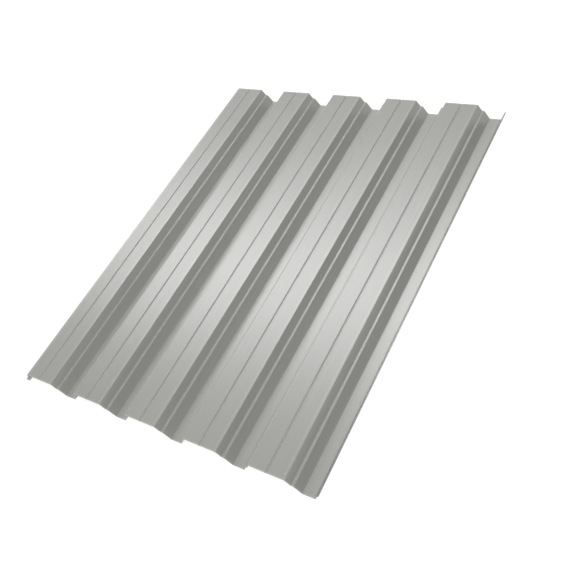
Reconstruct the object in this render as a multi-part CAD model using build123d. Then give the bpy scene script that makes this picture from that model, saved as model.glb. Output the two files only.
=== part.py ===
from build123d import *
import os

# Roll-formed trapezoidal sheet, in millimetres.
# Ribs run along Y and are counted from -X to +X.
# Every width and height is taken on the upper face, between the sharp corners of the bends.

# Sheet
THICKNESS = 0.7
LENGTH = 1148.0
INNER_BEND_RADIUS = 1.5

# Ribs
RIB_COUNT = 5
RIB_PITCH = 181.0
RIB_DEPTH = 45.5
CREST_WIDTH = 93.5
VALLEY_WIDTH = 31.0

# Stiffening groove along the middle of each crest
GROOVE_WIDTH = 5.4
GROOVE_FLOOR_WIDTH = 1.4
GROOVE_DEPTH = 2.4
GROOVE_INNER_RADIUS = 0.6

# Level stiffening ledge along each web
LEDGE_HEIGHT = 26.3
LEDGE_WIDTH = 6.0

# Side edges: a flat foot at the left, and a lip on the half web at the right
FOOT_WIDTH = 15.0
LIP_WIDTH = 3.2

# Slope of the plain parts of a web, as run for each unit of rise
FOOTPRINT_HALF = (RIB_PITCH - VALLEY_WIDTH) / 2
WEB_RUN = FOOTPRINT_HALF - CREST_WIDTH / 2
WEB_SLOPE = (WEB_RUN - LEDGE_WIDTH) / RIB_DEPTH


def web():
    """Corners of a rising web, as (run, height) from the end of its valley."""
    ledge_start = WEB_SLOPE * LEDGE_HEIGHT
    ledge_end = ledge_start + LEDGE_WIDTH
    return [(0, 0), (ledge_start, LEDGE_HEIGHT), (ledge_end, LEDGE_HEIGHT), (WEB_RUN, RIB_DEPTH)]


def rib(centre):
    """Bends of one rib, as (place, height, inner radius), from its left foot to its right foot."""
    left = [(run - FOOTPRINT_HALF, height, INNER_BEND_RADIUS) for run, height in web()]
    left += [
        (-GROOVE_WIDTH / 2, RIB_DEPTH, GROOVE_INNER_RADIUS),
        (-GROOVE_FLOOR_WIDTH / 2, RIB_DEPTH - GROOVE_DEPTH, GROOVE_INNER_RADIUS),
    ]
    right = [(-place, height, radius) for place, height, radius in reversed(left)]
    return [(centre + place, height, radius) for place, height, radius in left + right]


def all_bends():
    """Bends of the whole sheet, from its left edge to its right edge."""
    bends = []
    for index in range(RIB_COUNT):
        bends += rib(index * RIB_PITCH)
    last_valley_end = RIB_COUNT * RIB_PITCH - FOOTPRINT_HALF
    foot_and_ledge = web()[:2]
    bends += [(last_valley_end + run, height, INNER_BEND_RADIUS) for run, height in foot_and_ledge]
    return bends


def face_lines(bends):
    """Lines of the upper and lower faces, one thickness apart, with every bend rounded."""
    first, last = bends[0], bends[-1]
    upper = [Vector(first[0] - FOOT_WIDTH, first[1])]
    upper += [Vector(place, height) for place, height, inner in bends]
    upper += [Vector(last[0] + LIP_WIDTH, last[1])]
    runs = [(end - start).normalized() for start, end in zip(upper, upper[1:])]
    downs = [Vector(run.Y, -run.X) for run in runs]

    lower = [upper[0] + downs[0] * THICKNESS]
    upper_radii = []
    lower_radii = []
    for corner, bend, before, after in zip(upper[1:], bends, downs, downs[1:]):
        mitre = before + after
        lower.append(corner + mitre * (THICKNESS / before.dot(mitre)))
        inner = bend[-1]
        turns_up = before.cross(after).Z > 0
        upper_radii.append(inner if turns_up else inner + THICKNESS)
        lower_radii.append(inner + THICKNESS if turns_up else inner)
    lower.append(upper[-1] + downs[-1] * THICKNESS)
    return FilletPolyline(*upper, radius=upper_radii), FilletPolyline(*lower, radius=lower_radii)


def rolled_sheet():
    """The whole sheet as one solid, centred on X and Y, with its underside on Z = 0."""
    upper, lower = face_lines(all_bends())
    edges = [Line(upper @ end, lower @ end) for end in (0, 1)]
    section = make_face([upper, lower] + edges)
    sheet = extrude(Plane.XZ * section, LENGTH / 2, both=True)
    box = sheet.bounding_box()
    return Pos(-box.center().X, -box.center().Y, -box.min.Z) * sheet


os.makedirs("parts", exist_ok=True)
export_step(rolled_sheet(), "parts/profiled_sheet.step")
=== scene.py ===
import math

import bpy
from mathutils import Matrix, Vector


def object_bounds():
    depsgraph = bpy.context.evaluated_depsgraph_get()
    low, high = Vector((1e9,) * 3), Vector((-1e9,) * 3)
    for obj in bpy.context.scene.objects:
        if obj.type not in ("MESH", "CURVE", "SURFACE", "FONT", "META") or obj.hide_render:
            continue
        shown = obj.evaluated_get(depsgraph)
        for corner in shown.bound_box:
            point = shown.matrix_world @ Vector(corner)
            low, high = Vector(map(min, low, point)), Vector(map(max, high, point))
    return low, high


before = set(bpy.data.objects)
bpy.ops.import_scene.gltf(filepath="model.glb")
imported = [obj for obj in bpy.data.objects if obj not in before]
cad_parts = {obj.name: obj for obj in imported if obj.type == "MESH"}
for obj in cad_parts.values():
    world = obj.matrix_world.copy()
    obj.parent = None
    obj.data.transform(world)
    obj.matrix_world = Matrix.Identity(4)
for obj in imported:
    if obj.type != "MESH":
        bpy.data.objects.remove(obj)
cad_low, cad_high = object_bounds()
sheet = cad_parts["profiled_sheet"]


def srgb(*levels):
    """Linear colour from display levels of 0 to 255."""
    return tuple((v / 255 / 12.92) if v < 10 else ((v / 255 + 0.055) / 1.055) ** 2.4 for v in levels) + (1.0,)


# Finishes, with the painted highlight and the painted shade, in the sRGB levels that they show. A pair holds
# the darkest and the lightest tone of its finish
TOP_COAT = (srgb(148, 149, 144.5), srgb(153, 154, 149.5))
BACKING_COAT = (srgb(215, 216, 212), srgb(222, 223, 219))
BARE_METAL = (srgb(108, 110, 110), srgb(168, 170, 170))
PAINTED_HIGHLIGHT_AND_END_COAT = srgb(205, 206, 203)
PAINTED_SHADE_COAT = srgb(96, 97, 95)
WHITE = (1.0, 1.0, 1.0, 1.0)

# Places and widths on the sheet, in metres, for the painted highlights, the lighter cut ends and the painted
# shade. The first crest's painted highlight strip fades between two distances from its edge
RIB_PITCH = 0.181
FIRST_GROOVE = cad_low[0] + 0.09
FIRST_CREST_EDGE = cad_low[0] + 0.0433
FIRST_CREST_STRIP = (0.009, 0.005)
HALF_WEB_AND_LIP = 0.0165
LIP_AND_BEND = 0.0042
CREST_BEND_DEPTH = 0.004
CUT_END_STRIP = 0.003

# Places across a rib, as shares of the pitch from its groove. The crest's painted highlight strip fades in
# between two of them
GROOVE_SHARE = 0.1
CREST_STRIP_SHARES = (0.212, 0.232)
CREST_SHARE = 0.26

# Upward part of the surface's normal: 1 where the sheet is level, 0 on its cut edges
LEVEL = 0.985
HIGHLIGHT_BEND_END = 0.67
UPRIGHT = 0.15

# Strength of the painted highlights, the lighter cut ends and the painted shade, from 0 to 1
BEND_HIGHLIGHT = 0.65
CREST_STRIP_HIGHLIGHT = 0.1
FIRST_CREST_HIGHLIGHT = 0.2
CUT_END_LIGHTENING = 0.2
HALF_WEB_SHADE = 0.1
LIP_SHADE = 0.5

# Studio, in metres. The floor's whites are its level as it is seen, at two distances from the middle
FLOOR_SIZE = 60.0
FLOOR_WHITES = ((1.0, 0.74), (3.5, 1.0))
RAMP_REACH = 10.0
CEILING = 12.0


class Tree:
    """Nodes of one material or world, with a short call for each kind that repeats."""

    def __init__(self, owner):
        owner.use_nodes = True
        self.nodes = owner.node_tree.nodes
        self.links = owner.node_tree.links
        self.nodes.clear()

    def add(self, kind, **settings):
        node = self.nodes.new(kind)
        for key, value in settings.items():
            setattr(node, key, value)
        return node

    def feed(self, socket, value):
        """Link a node's output to a socket, or set the socket to a number or a colour."""
        if isinstance(value, bpy.types.NodeSocket):
            self.links.new(value, socket)
        else:
            socket.default_value = value

    def feed_all(self, node, values):
        for socket, value in values.items():
            self.feed(node.inputs[socket], value)
        return node

    def maths(self, operation, *values):
        node = self.add("ShaderNodeMath", operation=operation)
        return self.feed_all(node, dict(enumerate(values))).outputs[0]

    def plus(self, a, b):
        return self.maths("ADD", a, b)

    def minus(self, a, b):
        return self.maths("SUBTRACT", a, b)

    def above(self, value, limit):
        return self.maths("GREATER_THAN", value, limit)

    def below(self, value, limit):
        return self.maths("LESS_THAN", value, limit)

    def times(self, first, *others):
        for other in others:
            first = self.maths("MULTIPLY", first, other)
        return first

    def largest(self, first, *others):
        for other in others:
            first = self.maths("MAXIMUM", first, other)
        return first

    def rise(self, value, start, end):
        """0 up to start, 1 from end on, and even between them."""
        share = self.times(self.minus(value, start), 1.0 / (end - start))
        return self.maths("MINIMUM", self.largest(share, 0.0), 1.0)

    def split(self, vector):
        return self.feed_all(self.add("ShaderNodeSeparateXYZ"), {0: vector}).outputs

    def stretched(self, vector, scale):
        return self.feed_all(self.add("ShaderNodeMapping"), {"Vector": vector, "Scale": scale}).outputs[0]

    def noise(self, vector, scale, detail=2.0):
        node = self.add("ShaderNodeTexNoise")
        return self.feed_all(node, {"Vector": vector, "Scale": scale, "Detail": detail}).outputs[0]

    def ramp(self, source, *stops):
        """Blend of two stops, each a place from 0 to 1 and a colour."""
        node = self.feed_all(self.add("ShaderNodeValToRGB"), {0: source})
        for element, (position, colour) in zip(node.color_ramp.elements, stops):
            element.position = position
            element.color = colour
        return node.outputs[0]

    def mix_colours(self, factor, a, b):
        return self.feed_all(self.add("ShaderNodeMix", data_type="RGBA"), {0: factor, 6: a, 7: b}).outputs[2]

    def mix_values(self, factor, a, b):
        return self.feed_all(self.add("ShaderNodeMix", data_type="FLOAT"), {0: factor, 2: a, 3: b}).outputs[0]

    def mix_shaders(self, factor, a, b):
        return self.feed_all(self.add("ShaderNodeMixShader"), {0: factor, 1: a, 2: b}).outputs[0]

    def shader(self, kind, **values):
        """Shader whose sockets are given by name, with _ for each space."""
        values = {name.replace("_", " "): value for name, value in values.items()}
        return self.feed_all(self.add(kind), values).outputs[0]

    def backdrop_seen(self):
        """1 where the studio is seen, directly or in a reflection, and 0 where it only lights the part."""
        path = self.add("ShaderNodeLightPath").outputs
        return self.largest(path["Is Camera Ray"], path["Is Glossy Ray"], path["Is Transmission Ray"])

    def end_with(self, kind, shader):
        self.feed_all(self.add(kind), {0: shader})


def painted_highlight_and_end_share(tree, place, normal, fine_noise):
    """Painted highlights on the left bends of the crests, in a strip inside their right edges and in a strip
    inside the left edge of the first crest, and a lighter strip along the cut ends."""
    across, along, height = tree.split(place)
    turned, _, up = tree.split(normal)
    ribs = tree.maths("DIVIDE", tree.minus(across, FIRST_GROOVE), RIB_PITCH)
    off_groove = tree.above(tree.maths("PINGPONG", ribs, 0.5), GROOVE_SHARE)
    faces_left = tree.below(turned, 0.0)
    # Painted highlights: on the crests' left-facing bends, in a strip inside the crests' right edges and
    # inside the first crest's left edge
    bend = tree.times(tree.above(up, HIGHLIGHT_BEND_END), tree.below(up, LEVEL), faces_left, off_groove)

    past_groove = tree.maths("FRACT", ribs)
    on_right = tree.below(past_groove, CREST_SHARE)
    crest_strip = tree.times(tree.rise(past_groove, *CREST_STRIP_SHARES), on_right, tree.above(up, LEVEL))
    first_crest = tree.rise(across, *(FIRST_CREST_EDGE + width for width in FIRST_CREST_STRIP))

    on_crest = tree.above(height, cad_high[2] - CREST_BEND_DEPTH)
    cut_end = tree.above(tree.maths("ABSOLUTE", along), cad_high[1] - CUT_END_STRIP)
    painted_highlight = tree.largest(tree.times(first_crest, FIRST_CREST_HIGHLIGHT), tree.times(bend, BEND_HIGHLIGHT),
                          tree.times(crest_strip, CREST_STRIP_HIGHLIGHT))
    highlight_and_end = tree.largest(tree.times(cut_end, CUT_END_LIGHTENING), tree.times(on_crest, painted_highlight))
    return tree.times(highlight_and_end, tree.plus(fine_noise, 0.5))


def painted_shade_share(tree, place):
    """Painted shade, slight on the half web at the right side edge and clear on the lip."""
    across = tree.split(place)[0]
    half_web = tree.above(across, cad_high[0] - HALF_WEB_AND_LIP)
    lip = tree.above(across, cad_high[0] - LIP_AND_BEND)
    return tree.largest(tree.times(half_web, HALF_WEB_SHADE), tree.times(lip, LIP_SHADE))


def coated_steel():
    """Top coat above, pale backing coat below, and bare metal on the cut edges."""
    mat = bpy.data.materials.new("coated_steel")
    tree = Tree(mat)
    place = tree.add("ShaderNodeTexCoord").outputs["Object"]
    normal = tree.add("ShaderNodeNewGeometry").outputs["True Normal"]
    up = tree.split(normal)[2]
    is_top = tree.above(up, UPRIGHT)
    is_edge = tree.below(tree.maths("ABSOLUTE", up), UPRIGHT)

    # Slight changes of tone: broad clouds, and faint streaks along the ribs from the rollers
    clouds = tree.noise(place, 3.0, detail=3.0)
    streaks = tree.noise(tree.stretched(place, (260.0, 2.0, 260.0)), 1.0)
    fine_noise = tree.noise(place, 900.0)
    tone = tree.plus(tree.times(clouds, 0.5), tree.times(streaks, 0.5))
    top = tree.ramp(tone, (0.35, TOP_COAT[0]), (0.65, TOP_COAT[1]))
    back = tree.ramp(tone, (0.35, BACKING_COAT[0]), (0.65, BACKING_COAT[1]))
    edge = tree.ramp(fine_noise, (0.3, BARE_METAL[0]), (0.7, BARE_METAL[1]))
    # Painted highlights along the crests' edges, and a lighter strip along the cut ends
    top = tree.mix_colours(painted_highlight_and_end_share(tree, place, normal, fine_noise), top, PAINTED_HIGHLIGHT_AND_END_COAT)
    # Painted shade on the half web and the lip at the right side edge
    top = tree.mix_colours(painted_shade_share(tree, place), top, PAINTED_SHADE_COAT)
    colour = tree.mix_colours(is_edge, tree.mix_colours(is_top, back, top), edge)

    # The top coat is the glossiest, and its gloss changes a little with the streaks
    top_roughness = tree.plus(tree.times(tree.minus(streaks, 0.5), 0.06), 0.26)
    roughness = tree.mix_values(is_edge, tree.mix_values(is_top, 0.55, top_roughness), 0.45)

    orange_peel = {"Strength": 0.08, "Distance": 0.0002, "Height": tree.noise(place, 700.0)}
    bump = tree.feed_all(tree.add("ShaderNodeBump"), orange_peel).outputs[0]
    coat = tree.shader("ShaderNodeBsdfPrincipled", IOR=1.6, Base_Color=colour, Roughness=roughness,
                       Metallic=tree.times(is_edge, 0.9), Normal=bump)
    tree.end_with("ShaderNodeOutputMaterial", coat)
    return mat


def pale_floor():
    """Plain floor that is seen as white, and as fully white away from the sheet, where no shadow falls."""
    mat = bpy.data.materials.new("pale_floor")
    tree = Tree(mat)
    plain = tree.shader("ShaderNodeBsdfDiffuse", Color=(0.8, 0.8, 0.8, 1.0))
    shadowed = tree.shader("ShaderNodeBsdfDiffuse", Color=(0.36, 0.36, 0.36, 1.0))
    distance = tree.add("ShaderNodeVectorMath", operation="LENGTH")
    tree.feed(distance.inputs[0], tree.add("ShaderNodeTexCoord").outputs["Object"])
    spread = tree.maths("DIVIDE", distance.outputs["Value"], RAMP_REACH)
    stops = ((metres / RAMP_REACH, (level, level, level, 1.0)) for metres, level in FLOOR_WHITES)
    white = tree.shader("ShaderNodeEmission", Color=tree.ramp(spread, *stops))
    seen = tree.feed_all(tree.add("ShaderNodeAddShader"), {0: shadowed, 1: white}).outputs[0]
    tree.end_with("ShaderNodeOutputMaterial", tree.mix_shaders(tree.backdrop_seen(), plain, seen))
    return mat


def studio():
    """White surroundings that light the part only faintly."""
    world = bpy.data.worlds.new("studio")
    tree = Tree(world)
    ambient = tree.shader("ShaderNodeBackground", Color=WHITE, Strength=0.1)
    backdrop = tree.shader("ShaderNodeBackground", Color=WHITE, Strength=1.0)
    tree.end_with("ShaderNodeOutputWorld", tree.mix_shaders(tree.backdrop_seen(), ambient, backdrop))
    return world


def area_light(name, location, size_x, size_y, radiance):
    """Rectangular lamp that faces down."""
    lamp = bpy.data.lights.new(name, "AREA")
    lamp.shape = "RECTANGLE"
    lamp.size = size_x
    lamp.size_y = size_y
    lamp.energy = radiance * math.pi * size_x * size_y
    holder = bpy.data.objects.new(name, lamp)
    bpy.context.collection.objects.link(holder)
    holder.location = location
    return holder


def softbox():
    """Three panels above the left far side, whose sheen is the bright band at mid-length."""
    for panel, angle, radiance in (("near", 26, 6.4), ("middle", 32, 9.1), ("far", 38, 4.6)):
        start, end = (CEILING * math.tan(math.radians(angle + side)) for side in (-3, 3))
        middle = (-8.4, (start + end) / 2, CEILING)
        holder = area_light(f"softbox_{panel}", middle, 12.4, end - start, radiance)
        holder.rotation_euler.z = math.radians(4.0)


def key_light():
    """Lamp on the right, steep enough to reach the foot of the webs that face away from it."""
    holder = area_light("key", (5.3, -3.6, 10.1), 4.0, 4.0, 20.4)
    holder.rotation_euler = (-Vector(holder.location)).to_track_quat("-Z", "Y").to_euler()


def photo_camera():
    """Camera fitted to the rib lines and the sheet's ends in the photograph."""
    lens = bpy.data.cameras.new("camera")
    lens.sensor_width = 36.0
    lens.lens = 44.3275
    lens.clip_end = 100.0
    camera = bpy.data.objects.new("camera", lens)
    bpy.context.collection.objects.link(camera)
    camera.location = (1.07834, -0.90245, 1.35771)
    camera.rotation_euler = [math.radians(v) for v in (38.8553, 18.7161, 29.1353)]
    return camera


sheet.data.materials.clear()
sheet.data.materials.append(coated_steel())

bpy.ops.mesh.primitive_plane_add(size=FLOOR_SIZE, location=(0.0, 0.0, 0.0))
floor = bpy.context.object
floor.name = "floor"
floor.data.materials.append(pale_floor())

bpy.context.scene.world = studio()
softbox()
key_light()
bpy.context.scene.camera = photo_camera()
bpy.context.scene.view_settings.view_transform = "Standard"
